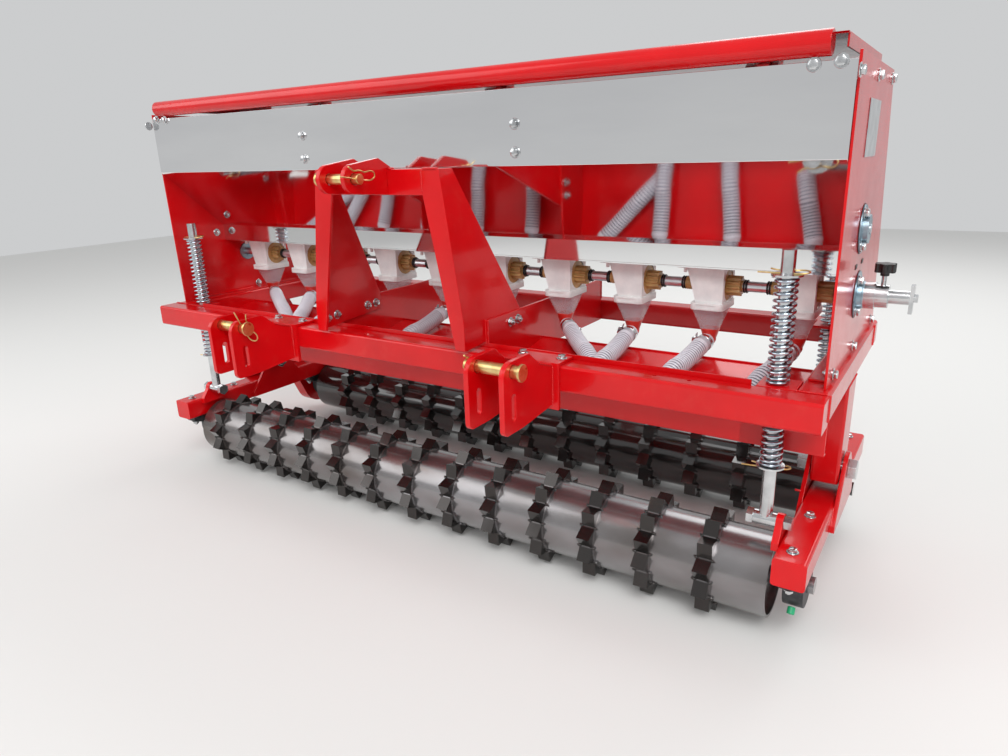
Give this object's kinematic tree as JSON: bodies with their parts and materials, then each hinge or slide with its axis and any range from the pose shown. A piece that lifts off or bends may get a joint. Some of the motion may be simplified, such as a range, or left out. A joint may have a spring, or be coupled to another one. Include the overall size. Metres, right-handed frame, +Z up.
{
  "type": "seed drill",
  "caption": "Compact three-point overseeder: square-tube frame on two lugged rollers, stainless seed hopper with hinged lid, metering cups, hoses and seed tray.",
  "frame": {"origin": "middle of the axis of the two lower hitch pins", "axes": "+X to the right as seen from the hitch side, along the rollers; +Y rearwards, away from the tractor; +Z up"},
  "size_m": [1.791, 0.792, 0.9699],
  "materials": {
    "red_paint": "gloss",
    "black_paint": "gloss",
    "roller_steel": "satin",
    "stainless": "polished",
    "zinc": "satin",
    "gold_zinc": "satin",
    "grey_cast": "satin",
    "blue_grey": "gloss",
    "white_plastic": "gloss",
    "amber_plastic": "gloss",
    "clear_plastic": "gloss",
    "red_plastic": "gloss",
    "hose_plastic": "satin",
    "black_plastic": "satin"
  },
  "bodies": {
    "root": {"front_beam": "red_paint", "side_tube_left": "red_paint", "side_tube_right": "red_paint", "rear_beam": "red_paint", "rail_left": "red_paint", "rail_right": "red_paint", "seed_tray": "red_paint", "mast_left": "red_paint", "mast_right": "red_paint", "mast_crossbar": "red_paint", "top_clevis": "red_paint", "hitch_bracket_left": "red_paint", "hitch_bracket_right": "red_paint", "hitch_pins": "gold_zinc", "leg_left": "red_paint", "leg_right": "red_paint", "arm_left": "red_paint", "arm_right": "red_paint", "pivot_bolts": "zinc", "bearing_blocks": "grey_cast", "rod_brackets": "red_paint", "spring_rods": "zinc", "upper_springs": "zinc", "lower_springs": "zinc", "hopper_front": "stainless", "hopper_back": "stainless", "floor_front": "stainless", "floor_back": "stainless", "floor_webs": "stainless", "end_plate_left": "red_paint", "end_plate_right": "red_paint", "blank_plate": "zinc", "seed_cups": "white_plastic", "seed_funnels": "clear_plastic", "seed_spouts": "red_plastic", "seed_hoses": "hose_plastic", "hose_clamps": "zinc", "shaft_bearings": "blue_grey", "rate_adjuster": "zinc", "rate_knob": "black_plastic", "chain_case": "red_paint", "lid_hinges": "red_paint"},
    "front_roller": {"front_roller": "roller_steel"},
    "rear_roller": {"rear_roller": "black_paint"},
    "metering_shaft": {"metering_shaft": "zinc", "metering_rolls": "amber_plastic"},
    "agitator_shaft": {"agitator_shaft": "zinc"},
    "lid": {"lid_sheet": "red_paint", "lid_tube": "red_paint"}
  },
  "joints": [
    {"name": "front_roller_turn", "type": "hinge", "parent": "root", "child": "front_roller", "pos_m": [0, 0.237, -0.386], "axis": [-1, 0, 0], "continuous": true},
    {"name": "rear_roller_turn", "type": "hinge", "parent": "root", "child": "rear_roller", "pos_m": [0, 0.661, -0.386], "axis": [-1, 0, 0], "continuous": true},
    {"name": "metering_turn", "type": "hinge", "parent": "root", "child": "metering_shaft", "pos_m": [0, 0.427, 0.087], "axis": [-1, 0, 0], "continuous": true},
    {"name": "agitator_turn", "type": "hinge", "parent": "root", "child": "agitator_shaft", "pos_m": [0, 0.399, 0.202], "axis": [-1, 0, 0], "continuous": true},
    {"name": "lid_open", "type": "hinge", "parent": "root", "child": "lid", "pos_m": [0, 0.577, 0.473], "axis": [-1, 0, 0], "range_deg": [0, 100]}
  ],
  "couplings": [
    {"joint": "metering_turn", "follows": "rear_roller_turn", "ratio": 0.5},
    {"joint": "agitator_turn", "follows": "rear_roller_turn", "ratio": 0.5}
  ]
}
